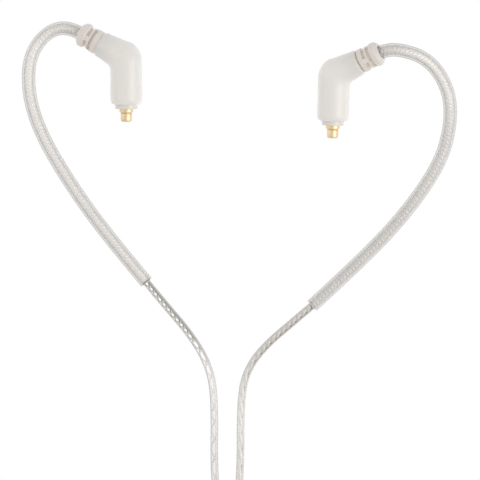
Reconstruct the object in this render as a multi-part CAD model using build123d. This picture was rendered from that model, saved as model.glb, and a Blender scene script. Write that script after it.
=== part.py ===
from build123d import *
import math
import os

# Detachable cable set of a pair of in-ear monitors, lying flat on a table at z = 0, in millimetres.
# Seen from above, +X is to the right, +Y points from the leads towards the two elbow connectors.
# Each elbow has its own frame: its origin is where the plug axis and the arm axis cross.

# ---- elbow connector ----
BEND_ANGLE = 117.0  # between the plug and the arm
HOUSING_R = 3.5
HOUSING_LENGTH = 10.2  # from the bend to the lower edge
HOUSING_CHAMFER = 0.6
ARM_END = 6.6  # from the bend to the housing's upper edge
ARM_END_R = 2.75
CAVITY_R = 2.3
ARM_BORE_R = 1.3
POTTING_END = 4.5  # the inner mould fills the arm's bore up to here
COLLAR_R = 2.45
COLLAR_END = 11.2
COLLAR_TOP = 7.7
SHELL_BODY_R = 1.48
SHOULDER_R = 1.55
SHOULDER_END = 12.0
GROOVE_END = 12.25
GROOVE_R = 1.0
SNAP_WIRE_R = 0.1
BARREL_R = 1.25
BARREL_END = 14.05
BARREL_ROUNDING = 0.35
SHELL_BORE_R = 0.85
SHELL_REAR = 8.0
PIN_R = 0.25
PIN_CUP_R = 0.4
PIN_REAR = 6.6
CLEARANCE = 0.02

# ---- strain relief on the arm, measured from the bend ----
RELIEF_START = 4.6
RELIEF_END = 11.8
RELIEF_NECK_R = 2.15
RELIEF_NECK_END = 7.0
RELIEF_FLANGE_R = 2.65
RELIEF_BODY_R = 2.5
RELIEF_BULGE_R = 2.7
SLOT_WIDTH = 0.65
SLOT_FLOOR_R = 2.0
SLOT_BRIDGE = 1.3  # width of the two bridges that interrupt each ring-shaped slot
SLOT_PLACES = (8.35, 9.5)
TUBE_SEAT = 9.9

# ---- ear-hook tube and cable ----
TUBE_R = 1.5
TUBE_BORE_R = 1.1
LEAD_R = 0.85
CABLE_START = 3.4
WIRE_R = 0.22

# ---- put-away leads ----
LEAD_PITCH = 1.8
LEAD_COIL_CENTRE = Vector(-13.8, -121)
LEAD_COIL_R = (6.6, 12.0)  # middle of the innermost and of the outermost turn
LEAD_LAYERS = 2
COIL_FLOOR = 0.5  # a coil lies on its tie
CORD_R = 1.0
CORD_PITCH = 2.1
CORD_LAYER = 2.06
CORD_COIL_CENTRE = Vector(29.5, -128.8)
CORD_COIL_R = (6.8, 15.2)
CORD_LAYERS = 4
TIE_THICKNESS = 0.45

# ---- slider, Y-split and plug ----
SLIDER_Y = -100.0
SLIDER_SIZE = (6.4, 8.0, 3.0)
SLIDER_AXIS_Z = COIL_FLOOR + LEAD_R
SLIDER_HOLE_R = LEAD_R + 0.08
PAIR_X = LEAD_COIL_CENTRE.X + LEAD_COIL_R[1] - LEAD_PITCH / 2
SPLIT_Y = CORD_COIL_CENTRE.Y - CORD_COIL_R[1]
SPLIT_X = (6.5, 15.5)
SPLIT_WIDTH = 5.6
SPLIT_AXIS_Z = 2.0
SPLIT_RELIEF_END = 20.5
SPLIT_CORE_SIZE = (4.2, 2.6)
SPLIT_SLOTS = (17.0, 18.3)
SPLIT_END_WALL = 0.8
SPLIT_LEAD_DEPTH = 1.5  # how far the leads reach into the housing
PLUG_X = CORD_COIL_CENTRE.X + CORD_COIL_R[1]
PLUG_Z = 4.2
PLUG_RELIEF_Y = (-101.5, -94.0)
PLUG_TOP_Y = -79.0
JACK_Y = -83.5
JACK_FACE = 4.0  # from the plug's middle to the face that the jack stands on
JACK_LENGTH = 14.0
JACK_R = 1.75
JACK_BOSS_R = 2.58
PLUG_CORD_END = -90.0

# Where each elbow lies: its bend, the angle of its plug below the table's plane, and how far it is rolled
# about its plug so that the arm drops (left) or rises (right).
ELBOWS = {
    "left": {"bend": Vector(-24.9, 23.6, 4.85), "pitch": 6.2, "roll": -15.0, "turn": 0.0, "side": -1,
             "relief_turn": 0},
    "right": {"bend": Vector(20.75, 20.0, 4.6), "pitch": 6.0, "roll": 17.0, "turn": -1.2, "side": 1,
              "relief_turn": 102},
}

# Corners of the ear-hook tubes' routes, after the stretch that is in line with the arm.
HOOK_ROUTES = {
    "left": [
        (-39.9, 30.4, 1.9),
        (-43.05, 28.68, 1.65),
        (-45.65, 25.2, 1.5),
        (-46.7, 20.4, 1.5),
        (-46.0, 13.05, 1.5),
        (-42.6, 4.6, 1.5),
        (-35.3, -7.1, 1.5),
        (-27.0, -18.0, 1.5),
        (-20.5, -25.7, 1.5),
    ],
    "right": [
        (36.6, 24.93, 9.0),
        (40.9, 23.25, 8.0),
        (44.3, 19.6, 6.3),
        (46.4, 14.4, 4.4),
        (46.25, 7.6, 2.7),
        (43.95, 0.1, 1.7),
        (37.45, -9.5, 1.5),
        (28.35, -19.55, 1.5),
        (15.95, -30.9, 1.5),
    ],
}
HOOK_LEAD_IN = {"left": 13.5, "right": 13.3}

# Corners of the free leads' routes, from the tube's end to where they meet the coil.
LEAD_ROUTES = {
    "left": [
        (-20.5, -25.7, 1.5),
        (-16.4, -30.7, 1.1),
        (-11.1, -36.82, 0.85),
        (-7.0, -43.45, 0.85),
        (-5.42, -50.6, 0.85),
        (-5.7, -70.0, 0.85),
        (-3.6, -84.0, 1.35),
        (-3.6, -117.0, 1.35),
    ],
    "right": [
        (15.95, -30.9, 1.5),
        (11.28, -34.88, 1.0),
        (6.08, -39.28, 0.85),
        (2.15, -44.05, 0.85),
        (0.17, -50.3, 0.85),
        (0.26, -70.0, 0.85),
        (-1.8, -84.0, 1.35),
        (-1.8, -117.0, 1.35),
    ],
}
# From the lead coil's upper layer to the Y-split.
LEAD_TAILS = {
    "left": [
        (-3.6, -124.0, 3.15),
        (-3.6, -131.0, 3.1),
        (-3.5, -137.2, 1.4),
        (-1.1, -142.8, 1.2),
        (3.8, -144.9, 2.0),
        (8.0, -144.9, 2.0),
    ],
    "right": [
        (-1.8, -124.0, 3.15),
        (-1.8, -131.0, 3.1),
        (-1.7, -136.5, 1.4),
        (0.2, -141.2, 1.2),
        (4.0, -143.1, 2.0),
        (8.0, -143.1, 2.0),
    ],
}
MAIN_CORD_ROUTE = [(17.0, -144.0, 2.0), (21.4, -144.0, 2.0), (25.4, -144.0, 1.5)]
MAIN_TAIL_ROUTE = [
    (44.7, -126.0, 7.68),
    (44.7, -118.0, 7.4),
    (44.7, -110.5, 5.2),
    (44.7, -104.0, 4.2),
    (44.7, -97.0, 4.2),
]


def corner_radii(points):
    """One radius for each corner: its arc takes 0.45 of the shorter run beside it."""
    radii = []
    for before, here, after in zip(points, points[1:], points[2:]):
        run_in, run_out = here - before, after - here
        half_turn = math.radians(run_in.get_angle(run_out)) / 2
        radii.append(0.45 * min(run_in.length, run_out.length) / math.tan(half_turn))
    return radii


def route_path(route):
    """Straight runs joined by tangent arcs."""
    points = [Vector(*p) for p in route]
    return FilletPolyline(*points, radius=corner_radii(points))


def tube_along(path, radius):
    return sweep(Plane(origin=path @ 0, z_dir=path % 0) * Circle(radius), path=path)


def turned(profile, where):
    """Solid of revolution about where's z axis, from (place along the axis, radius) pairs."""
    outline = Polyline(*[(radius, along) for along, radius in profile], close=True)
    return where * revolve(Plane.XZ * make_face(outline), Axis.Z)


def pipe_profile(start, end, outer, inner):
    return [(start, inner), (start, outer), (end, outer), (end, inner)]


# ---- elbow frame: plug along -Y, arm in the XY plane ----
ARM_RISE = math.radians(BEND_ANGLE - 90)
ARM = Vector(math.cos(ARM_RISE), math.sin(ARM_RISE), 0)
PLUG_AXIS = Plane(origin=(0, 0, 0), x_dir=(1, 0, 0), z_dir=(0, -1, 0)).location
ARM_AXIS = Plane(origin=(0, 0, 0), x_dir=(0, 0, 1), z_dir=ARM).location


def elbow_location(name):
    """From an elbow's own frame to its place on the table. The left elbow is turned over, arm to the left."""
    e = ELBOWS[name]
    place = Location(e["bend"]) * Rotation(0, 0, e["turn"]) * Rotation(e["pitch"], 0, 0)
    flip = Rotation(0, 180, 0) if e["side"] < 0 else Rotation(0, 0, 0)
    return place * Rotation(0, -e["roll"] * e["side"], 0) * flip


def on_arm(name, along):
    """A point on the arm's axis, on the table."""
    return (elbow_location(name) * Location(ARM * along)).position


def elbow_housing():
    taper = math.atan((HOUSING_R - ARM_END_R) / ARM_END)
    cone_start = HOUSING_R * math.sin(taper)
    outer = turned([(0, 0), (0, HOUSING_R), (HOUSING_LENGTH - HOUSING_CHAMFER, HOUSING_R),
                    (HOUSING_LENGTH, HOUSING_R - HOUSING_CHAMFER), (HOUSING_LENGTH, 0)], PLUG_AXIS)
    outer += Sphere(HOUSING_R)
    outer += turned([(cone_start, 0), (cone_start, HOUSING_R * math.cos(taper)),
                     (ARM_END, ARM_END_R), (ARM_END, 0)], ARM_AXIS)
    return outer - elbow_cavity()


def elbow_cavity():
    cavity = turned([(0, 0), (0, CAVITY_R), (HOUSING_LENGTH, CAVITY_R), (HOUSING_LENGTH, 0)], PLUG_AXIS)
    cavity += Sphere(CAVITY_R)
    return cavity + turned([(0, 0), (0, ARM_BORE_R), (ARM_END, ARM_BORE_R), (ARM_END, 0)], ARM_AXIS)


def collar_ring():
    inner = SHELL_BODY_R + CLEARANCE
    return turned([(COLLAR_TOP, inner), (COLLAR_TOP, CAVITY_R - CLEARANCE),
                   (HOUSING_LENGTH, CAVITY_R - CLEARANCE), (HOUSING_LENGTH, COLLAR_R),
                   (COLLAR_END - 0.15, COLLAR_R), (COLLAR_END, COLLAR_R - 0.15),
                   (COLLAR_END, inner)], PLUG_AXIS)


def plug_shell():
    """Gold outer contact: body in the collar, shoulder, snap-ring groove and barrel, bored through."""
    shell = turned([(SHELL_REAR, SHELL_BORE_R), (SHELL_REAR, SHELL_BODY_R), (COLLAR_END, SHELL_BODY_R),
                    (COLLAR_END, SHOULDER_R), (SHOULDER_END - 0.12, SHOULDER_R),
                    (SHOULDER_END, SHOULDER_R - 0.12), (SHOULDER_END, GROOVE_R), (GROOVE_END, GROOVE_R),
                    (GROOVE_END, BARREL_R), (BARREL_END, BARREL_R), (BARREL_END, SHELL_BORE_R)], PLUG_AXIS)
    tip_edge = [e for e in shell.edges().filter_by(GeomType.CIRCLE)
                if abs(e.radius - BARREL_R) < 0.01 and e.center().Y < -BARREL_END + 0.01]
    return fillet(tip_edge, BARREL_ROUNDING)


def snap_ring():
    """Split ring of round wire in the groove. Its gap faces the table."""
    middle = (SHOULDER_END + GROOVE_END) / 2
    ring = PLUG_AXIS * Location((0, 0, middle)) * Torus(GROOVE_R + CLEARANCE + SNAP_WIRE_R, SNAP_WIRE_R)
    gap = Location((0, -middle, -GROOVE_R)) * Box(0.4, 1, 1)
    return ring - gap


def plug_insulator():
    return turned(pipe_profile(SHELL_REAR, GROOVE_END + 0.3, SHELL_BORE_R - CLEARANCE, PIN_R + CLEARANCE),
                  PLUG_AXIS)


def centre_pin():
    """Contact pin with a solder cup behind the insulator."""
    return turned([(PIN_REAR, 0), (PIN_REAR, PIN_CUP_R), (SHELL_REAR - CLEARANCE, PIN_CUP_R),
                   (SHELL_REAR - CLEARANCE, PIN_R), (BARREL_END - 0.7, PIN_R),
                   (BARREL_END - 0.45, PIN_R - 0.15), (BARREL_END - 0.45, 0)], PLUG_AXIS)


def elbow_wire(step, plug_end):
    """Thin wire from the cable's end in the arm to the plug. step is its place beside the cable's axis."""
    arm_end = ARM * CABLE_START + Vector(0, 0, step)
    return tube_along(route_path([tuple(arm_end), (0, -0.4, step * 1.3), tuple(plug_end)]), WIRE_R)


def signal_wire():
    return elbow_wire(0.35, Vector(0, -PIN_REAR, 0))


def ground_wire():
    return elbow_wire(-0.35, Vector(0, -SHELL_REAR, -1.15))


def inner_mould(parts_inside):
    """Fills the cavity above the collar, around the wires, the cable's end and the pin's cup."""
    keep = turned([(0, 0), (0, CAVITY_R), (COLLAR_TOP, CAVITY_R), (COLLAR_TOP, 0)], PLUG_AXIS)
    keep += Sphere(CAVITY_R)
    keep += turned([(0, 0), (0, ARM_BORE_R), (POTTING_END, ARM_BORE_R), (POTTING_END, 0)], ARM_AXIS)
    for part in parts_inside:
        keep -= part
    return keep


def strain_relief(turn):
    """Spigot in the arm, neck, flange, slotted body and rounded end. turn is its angle about the arm."""
    cable_bore = LEAD_R + CLEARANCE
    seat = TUBE_R + CLEARANCE
    relief = turned([(RELIEF_START, cable_bore), (RELIEF_START, ARM_BORE_R - CLEARANCE),
                     (ARM_END, ARM_BORE_R - CLEARANCE), (ARM_END, RELIEF_NECK_R),
                     (RELIEF_NECK_END, RELIEF_NECK_R), (RELIEF_NECK_END, RELIEF_FLANGE_R),
                     (SLOT_PLACES[0] - SLOT_WIDTH / 2, RELIEF_FLANGE_R),
                     (SLOT_PLACES[0] + SLOT_WIDTH / 2, RELIEF_BODY_R),
                     (TUBE_SEAT, RELIEF_BODY_R), (TUBE_SEAT + 0.25, RELIEF_BULGE_R),
                     (RELIEF_END - 0.7, RELIEF_BULGE_R), (RELIEF_END - 0.25, RELIEF_BULGE_R - 0.2),
                     (RELIEF_END, RELIEF_BULGE_R - 0.6), (RELIEF_END, seat), (TUBE_SEAT, seat),
                     (TUBE_SEAT, cable_bore)], ARM_AXIS)
    for place, across in zip(SLOT_PLACES, (0, 90)):
        slot = Cylinder(HOUSING_R, SLOT_WIDTH) - Cylinder(SLOT_FLOOR_R, SLOT_WIDTH)
        slot -= Box(SLOT_BRIDGE, 3 * HOUSING_R, SLOT_WIDTH)
        relief -= ARM_AXIS * Rotation(0, 0, turn + across) * Location((0, 0, place)) * slot
    return relief


def hook_path(name):
    lead_in = [tuple(on_arm(name, TUBE_SEAT)), tuple(on_arm(name, HOOK_LEAD_IN[name]))]
    return route_path(lead_in + HOOK_ROUTES[name])


def ear_hook_tube(name):
    path = hook_path(name)
    return tube_along(path, TUBE_R) - tube_along(path, TUBE_BORE_R)


def hook_cable(name):
    """Cable from the housing, through the relief and the tube, to the tube's end."""
    in_arm = tube_along(Line(on_arm(name, CABLE_START), on_arm(name, TUBE_SEAT)), LEAD_R)
    return in_arm + tube_along(hook_path(name), LEAD_R)


def ring_solid(centre, radii, strand_r, floor, height):
    """Outer shape of a wound coil: a flat ring with rounded edges."""
    inner, outer = radii[0] - strand_r, radii[1] + strand_r
    ring = Location((centre.X, centre.Y, floor)) * (
        Cylinder(outer, height, align=(Align.CENTER, Align.CENTER, Align.MIN))
        - Cylinder(inner, height, align=(Align.CENTER, Align.CENTER, Align.MIN)))
    return fillet(ring.edges().filter_by(GeomType.CIRCLE), strand_r * 0.9)


def tie_around(centre, radii, strand_r, height, angle, width):
    """Flat strap around a coil's winding, with its fold on the outside."""
    gap = CLEARANCE * 2
    inner = math.sqrt((radii[0] - strand_r) ** 2 - (width / 2) ** 2) - gap
    outer = radii[1] + strand_r + gap
    middle, span = (inner + outer) / 2, outer - inner
    outside = Box(span + 2 * TIE_THICKNESS, width, height + gap + COIL_FLOOR + TIE_THICKNESS,
                  align=(Align.CENTER, Align.CENTER, Align.MIN))
    inside = Location((0, 0, TIE_THICKNESS)) * Box(span, width, height + gap + COIL_FLOOR - TIE_THICKNESS,
                                                   align=(Align.CENTER, Align.CENTER, Align.MIN))
    outside = fillet(outside.edges().filter_by(Axis.Y), 0.4)
    where = Location((centre.X, centre.Y, 0)) * Rotation(0, 0, angle) * Location((middle, 0, 0))
    return where * (outside - inside)


def chin_slider():
    """Flat rounded bead with one oblong hole for both leads."""
    width, length, height = SLIDER_SIZE
    body = Location((PAIR_X, SLIDER_Y, height / 2)) * Box(width, length, height)
    body = fillet(body.edges().filter_by(Axis.Y), 1.3)
    body = fillet(body.edges().filter_by(Axis.Z), 1.0)
    across = Plane(origin=(PAIR_X, SLIDER_Y, SLIDER_AXIS_Z), x_dir=(1, 0, 0), z_dir=(0, 1, 0))
    hole = across * SlotCenterToCenter(LEAD_PITCH, 2 * SLIDER_HOLE_R)
    return body - extrude(hole, amount=length, both=True)


def split_frame(x):
    return Plane(origin=(x, SPLIT_Y, SPLIT_AXIS_Z), x_dir=(0, 1, 0), z_dir=(1, 0, 0))


def y_split_core():
    """Hard inner mould that grips the leads and the main cord."""
    return y_split_core_space() - y_split_bores()


def y_split_core_space():
    length = SPLIT_X[1] - SPLIT_X[0] - 2 * SPLIT_END_WALL
    outline = RectangleRounded(*SPLIT_CORE_SIZE, 0.8)
    return extrude(split_frame(SPLIT_X[0] + SPLIT_END_WALL) * outline, amount=length)


def y_split_bores():
    bores = Part()
    for step in (-0.5, 0.5):
        depth = 1 + SPLIT_LEAD_DEPTH + CLEARANCE
        bore = Cylinder(LEAD_R + CLEARANCE, depth, align=(Align.CENTER, Align.CENTER, Align.MIN))
        bores += split_frame(SPLIT_X[0] - 1) * Location((step * LEAD_PITCH, 0, 0)) * bore
    return bores


def y_split_housing():
    length = SPLIT_X[1] - SPLIT_X[0]
    outline = RectangleRounded(SPLIT_WIDTH, 2 * SPLIT_AXIS_Z, 1.6)
    body = extrude(split_frame(SPLIT_X[0]) * outline, amount=length)
    body = fillet(body.edges().filter_by(lambda e: e.length > 1 and abs(e.tangent_at(0).X) < 0.01), 0.5)
    return body - y_split_core_space() - y_split_bores()


def y_split_relief():
    start, end = SPLIT_X[1], SPLIT_RELIEF_END
    where = split_frame(0).location
    relief = turned([(start, CORD_R + CLEARANCE), (start, 1.8), (end - 0.3, 1.35), (end, 1.2),
                     (end, CORD_R + CLEARANCE)], where)
    for place, across in zip(SPLIT_SLOTS, (0, 90)):
        for half in (0, 180):
            slot = Location((0, 1.25 + 2, place)) * Box(1.9, 4, 0.5)
            relief -= where * Rotation(0, 0, across + half) * slot
    return relief


# ---- right-angle plug: the cord runs along +Y, the jack points along -X ----
PLUG_AXIS_Y = Plane(origin=(PLUG_X, 0, PLUG_Z), x_dir=(1, 0, 0), z_dir=(0, 1, 0)).location
JACK_AXIS = Plane(origin=(PLUG_X, JACK_Y, PLUG_Z), x_dir=(0, 0, 1), z_dir=(-1, 0, 0)).location
JACK_END = JACK_FACE + JACK_LENGTH
JACK_RING = (JACK_END - 6.7, JACK_END - 4.2)
JACK_TIP_START = JACK_END - 3.6


def jack_housing(inner):
    length = PLUG_TOP_Y - PLUG_RELIEF_Y[1]
    body = Location((PLUG_X, PLUG_RELIEF_Y[1] + length / 2, PLUG_Z)) * Box(2 * JACK_FACE, length, 2 * PLUG_Z)
    body = fillet(body.edges().filter_by(Axis.Y), 2.2)
    body = fillet(body.faces().sort_by(Axis.Y)[-1].edges(), 1.2)
    body -= inner
    window = JACK_BOSS_R + CLEARANCE
    body -= turned([(0, 0), (0, window), (JACK_FACE + 1, window), (JACK_FACE + 1, 0)], JACK_AXIS)
    return body - cord_space()


def cord_space():
    """The hole for the cord, from below the housing to the cord's end among the contacts."""
    start, r = PLUG_RELIEF_Y[1] - 1, CORD_R + CLEARANCE
    return turned([(start, 0), (start, r), (PLUG_CORD_END, r), (PLUG_CORD_END, 0)], PLUG_AXIS_Y)


def jack_inner_space():
    length = PLUG_TOP_Y - PLUG_RELIEF_Y[1]
    return Location((PLUG_X, PLUG_RELIEF_Y[1] + length / 2 + 0.8, PLUG_Z)) * Box(5.6, length - 4.6, 6.0)


def jack_inner_mould(inner, contacts):
    """Hard block that holds the contacts' rear ends, with a boss that fills the housing's round window."""
    block = inner + turned([(0, 0), (0, JACK_BOSS_R), (JACK_FACE, JACK_BOSS_R), (JACK_FACE, 0)], JACK_AXIS)
    block -= cord_space()
    for contact in contacts:
        block -= contact
    return block


def jack_relief():
    start, end = PLUG_RELIEF_Y
    relief = turned([(start, CORD_R + CLEARANCE), (start, 1.35), (start + 0.4, 1.55), (end, 2.4),
                     (end, CORD_R + CLEARANCE)], PLUG_AXIS_Y)
    for i, place in enumerate((start + 1.8, start + 3.3, start + 4.8)):
        for half in (0, 180):
            slot = Location((0, 1.3 + 2, place)) * Box(2.4, 4, 0.6)
            relief -= PLUG_AXIS_Y * Rotation(0, 0, 90 * (i % 2) + half) * slot
    return relief


def jack_sleeve():
    return turned([(0.5, 1.3), (0.5, 2.2), (JACK_FACE, 2.2), (JACK_FACE, 2.4), (JACK_FACE + 0.6, 2.4),
                   (JACK_FACE + 0.6, JACK_R), (JACK_RING[0] - 0.6, JACK_R),
                   (JACK_RING[0] - 0.6, 1.3)], JACK_AXIS)


def jack_ring():
    return turned([(0, 0.8), (0, 1.05), (JACK_RING[0], 1.05), (JACK_RING[0], JACK_R),
                   (JACK_RING[1], JACK_R), (JACK_RING[1], 0.8)], JACK_AXIS)


def jack_tip():
    """Rod through the middle, with the tip's waist and rounded nose."""
    return turned([(-0.5, 0), (-0.5, 0.5), (JACK_TIP_START, 0.5), (JACK_TIP_START, JACK_R),
                   (JACK_TIP_START + 0.9, 1.1), (JACK_TIP_START + 1.4, 1.1), (JACK_TIP_START + 2.2, 1.6),
                   (JACK_END - 0.9, 1.25), (JACK_END - 0.3, 0.75), (JACK_END, 0.35),
                   (JACK_END, 0)], JACK_AXIS)


def jack_insulators():
    """Two black bushes, with the flush rings that show between the contacts."""
    outer = turned([(0.5, 1.05), (0.5, 1.3), (JACK_RING[0] - 0.6, 1.3), (JACK_RING[0] - 0.6, JACK_R),
                    (JACK_RING[0], JACK_R), (JACK_RING[0], 1.05)], JACK_AXIS)
    inner = turned([(0, 0.5), (0, 0.8), (JACK_RING[1], 0.8), (JACK_RING[1], JACK_R),
                    (JACK_TIP_START, JACK_R), (JACK_TIP_START, 0.5)], JACK_AXIS)
    return Compound(children=[outer, inner])


def build_elbow(name):
    """Every piece of one side's connector and ear hook, placed on the table."""
    cable_end = ARM_AXIS * Location((0, 0, CABLE_START)) * Cylinder(
        LEAD_R, POTTING_END, align=(Align.CENTER, Align.CENTER, Align.MIN))
    signal, ground, pin, shell = signal_wire(), ground_wire(), centre_pin(), plug_shell()
    local = {
        "elbow_housing": elbow_housing(),
        "collar_ring": collar_ring(),
        "plug_shell": shell,
        "snap_ring": snap_ring(),
        "plug_insulator": plug_insulator(),
        "centre_pin": pin,
        "signal_wire": signal,
        "ground_wire": ground,
        "inner_mould": inner_mould([signal, ground, pin, cable_end]),
        "strain_relief": strain_relief(ELBOWS[name]["relief_turn"]),
    }
    where = elbow_location(name)
    pieces = {f"{name}_{piece}": where * solid for piece, solid in local.items()}
    pieces[f"{name}_ear_hook_tube"] = ear_hook_tube(name)
    pieces[f"{name}_hook_cable"] = hook_cable(name)
    return pieces


def build_cords():
    """Free leads, main cord, their put-away coils and ties."""
    pieces = {}
    for name in ELBOWS:
        pieces[f"{name}_lead"] = tube_along(route_path(LEAD_ROUTES[name]), LEAD_R)
        pieces[f"{name}_lead_tail"] = tube_along(route_path(LEAD_TAILS[name]), LEAD_R)
    lead_height = 2 * LEAD_R + (LEAD_LAYERS - 1) * LEAD_PITCH
    cord_height = 2 * CORD_R + (CORD_LAYERS - 1) * CORD_LAYER
    pieces["main_cord"] = tube_along(route_path(MAIN_CORD_ROUTE), CORD_R)
    pieces["main_cord_tail"] = tube_along(route_path(MAIN_TAIL_ROUTE), CORD_R)
    pieces["lead_coil"] = ring_solid(LEAD_COIL_CENTRE, LEAD_COIL_R, LEAD_R, COIL_FLOOR, lead_height)
    pieces["main_coil"] = ring_solid(CORD_COIL_CENTRE, CORD_COIL_R, CORD_R, COIL_FLOOR, cord_height)
    pieces["lead_coil_tie"] = tie_around(LEAD_COIL_CENTRE, LEAD_COIL_R, LEAD_R, lead_height, 180, 4.0)
    pieces["main_coil_tie"] = tie_around(CORD_COIL_CENTRE, CORD_COIL_R, CORD_R, cord_height, 180, 5.0)
    return pieces


def build_fittings():
    """Slider, Y-split and plug."""
    inner = jack_inner_space()
    contacts = {"jack_sleeve": jack_sleeve(), "jack_ring": jack_ring(), "jack_tip": jack_tip(),
                "jack_insulators": jack_insulators()}
    return {
        "chin_slider": chin_slider(),
        "y_split_housing": y_split_housing(),
        "y_split_core": y_split_core(),
        "y_split_relief": y_split_relief(),
        "jack_housing": jack_housing(inner),
        "jack_inner_mould": jack_inner_mould(inner, contacts.values()),
        "jack_relief": jack_relief(),
        **contacts,
    }


def print_routes():
    """Each cord's length, its tube's volume over section times length, and its radii."""
    routes = [(f"{n}_lead", LEAD_ROUTES[n], LEAD_R) for n in ELBOWS]
    routes += [(f"{n}_lead_tail", LEAD_TAILS[n], LEAD_R) for n in ELBOWS]
    routes += [("main_cord", MAIN_CORD_ROUTE, CORD_R), ("main_cord_tail", MAIN_TAIL_ROUTE, CORD_R)]
    for name, route, radius in routes:
        points = [Vector(*p) for p in route]
        path = route_path(route)
        ratio = tube_along(path, radius).volume / (math.pi * radius**2 * path.length)
        print(name, f"{path.length:.1f} mm, volume ratio {ratio:.4f}, radii",
              " ".join(f"{r:.1f}" for r in corner_radii(points)))
    for name in ELBOWS:
        print(f"{name} hook tube {hook_path(name).length:.1f} mm")


os.makedirs("parts", exist_ok=True)
all_pieces = {}
for side in ELBOWS:
    all_pieces.update(build_elbow(side))
all_pieces.update(build_cords())
all_pieces.update(build_fittings())
for node, solid in all_pieces.items():
    export_step(solid, f"parts/{node}.step")
print_routes()
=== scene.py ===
"""Detachable cable set of a pair of in-ear monitors: its clear parts, elbows, cords, stage and light."""
import math

import bpy
from mathutils import Matrix, Vector


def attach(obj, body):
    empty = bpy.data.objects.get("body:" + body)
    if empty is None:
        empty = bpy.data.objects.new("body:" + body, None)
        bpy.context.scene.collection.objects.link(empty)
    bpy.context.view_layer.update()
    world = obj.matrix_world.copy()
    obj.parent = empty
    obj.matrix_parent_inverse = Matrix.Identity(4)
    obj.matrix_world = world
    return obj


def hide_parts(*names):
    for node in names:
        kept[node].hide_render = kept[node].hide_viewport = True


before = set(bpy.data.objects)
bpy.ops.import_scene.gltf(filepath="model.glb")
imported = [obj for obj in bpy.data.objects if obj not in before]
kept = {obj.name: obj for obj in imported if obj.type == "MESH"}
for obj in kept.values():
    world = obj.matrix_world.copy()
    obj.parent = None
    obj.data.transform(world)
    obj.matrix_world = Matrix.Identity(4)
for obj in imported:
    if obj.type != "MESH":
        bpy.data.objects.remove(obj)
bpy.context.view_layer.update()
MM = 0.001  # one millimetre, in the scene's metres
UP = Vector((0, 0, 1))
BODY = "cable_set"

# ---------------------------------------------------------------- driving sizes, in millimetres
BEND_ANGLE = 117.0  # between the plug and the arm, in degrees
HOUSING_R = 3.5
HOUSING_LENGTH = 10.2
HOUSING_CHAMFER = 0.6
ARM_END = 6.6
ARM_END_R = 2.75
WALL = 1.2
BEND_LINE_R = 1.2
INNER_BLEND = 0.9
ARM_BORE_R = 1.3
BORE_BLEND = 0.6
RING_LINE_R = 6.0  # bend of the line that the housing's rings are strung on

FIT = 0.02  # gap between parts that touch
SPIGOT_START = 7.7
SPIGOT_R = 2.28
COLLAR_R = 2.45
COLLAR_END = 11.2
SHELL_START = 8.0
SHELL_R = 1.48
SHELL_BORE_R = 0.85
SHOULDER_R = 1.55
SHOULDER_END = 12.0
GROOVE_END = 12.25
GROOVE_R = 1.0
BARREL_R = 1.25
BARREL_END = 14.05
SNAP_RING_R = 1.12
SNAP_WIRE_R = 0.1
SNAP_GAP = 0.06  # share of the ring's turn that is open

# The strain relief, as places along the arm and radii.
# The left neck fills the arm's end; the right one is slimmer.
RELIEF_START = 4.6
RELIEF_ROOT_R = 1.28
RELIEF_NECK_R = {"left": 2.55, "right": 2.15}
RELIEF_NECK_END = 7.0
RELIEF_FLANGE_R = 2.65
RELIEF_FLANGE_END = 8.02
RELIEF_BODY_R = 2.5
RELIEF_BODY_START = 8.68
RELIEF_BODY_END = 9.88
RELIEF_BULGE_R = 2.7
RELIEF_BULGE_START = 10.12
RELIEF_BULGE_END = 11.1
RELIEF_END = 11.8
RELIEF_END_R = 2.0
SHOWS_THROUGH_FROM = 1.4  # place along the arm where the relief's root starts to show
SLOT_PLACES = (8.35, 9.5)
SLOT_WIDTH = 0.65
SLOT_FLOOR_R = 2.0
SLOT_BRIDGE = 1.3
SLOT_SLOPE = (-0.05, 0.07)  # a slot's side slopes from the first to the second, measured from its edge
BRIDGE_SLOPE = (-0.06, 0.1)

TUBE_SEAT = 9.9
TUBE_R = 1.5
TUBE_BORE_R = 1.1
CUT_EDGE = 0.06  # small step where a tube is cut off
SHADE_RING_SPAN = (-0.25, 0.04)  # a dark ring in the sleeve's lower end, from inside to outside: painted shade in the gap between the cable and the bore
SHADE_RING_BORE_R = (0.98, 0.9)
CABLE_START = 3.4
HOOK_CABLE_R = 1.0  # as the sleeve's wall magnifies it
HOOK_STRAND_R = 0.6
HOOK_HELIX_R = 0.24
LEAD_R = 0.85
CORD_R = 1.0
CORD_STRAND_R = 0.3
CORD_HELIX_R = 0.35

# Millimetres for each full turn of the strands: in the sleeve, in the leads, whose twist loosens twice on the
# way down, and in the main cord.
TWIST_IN_TUBE = 1.8
LEAD_TWISTS = (2.95, 6.55, 9.0)
LEAD_LOOSENS = ((13.0, 20.0), (30.0, 46.0))
CORD_TWIST = 5.0

# What a lead's jacket holds. helix and shift are the twisted pair's radius and its step sideways, first by
# the sleeve and then past PAIR_SPREADS. The straight strand's entry is how far beside the middle it lies, and
# how far above it: it is a dark strand that paints the shade along the lead's shaded edge.
PAIR_SPREADS = (14, 20)
LEAD_STRANDS = {
    "left": {
        "helix": (0.38, 0.52), "shift": (0.14, 0.0), "strand_r": 0.165,
        "shade_strand": (0.46, 0.28), "shade_strand_r": 0.26,
    },
    "right": {
        "helix": (0.26, 0.26), "shift": (0.08, 0.08), "strand_r": 0.43,
        "shade_strand": (0.58, 0.24), "shade_strand_r": 0.2,
    },
}

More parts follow.
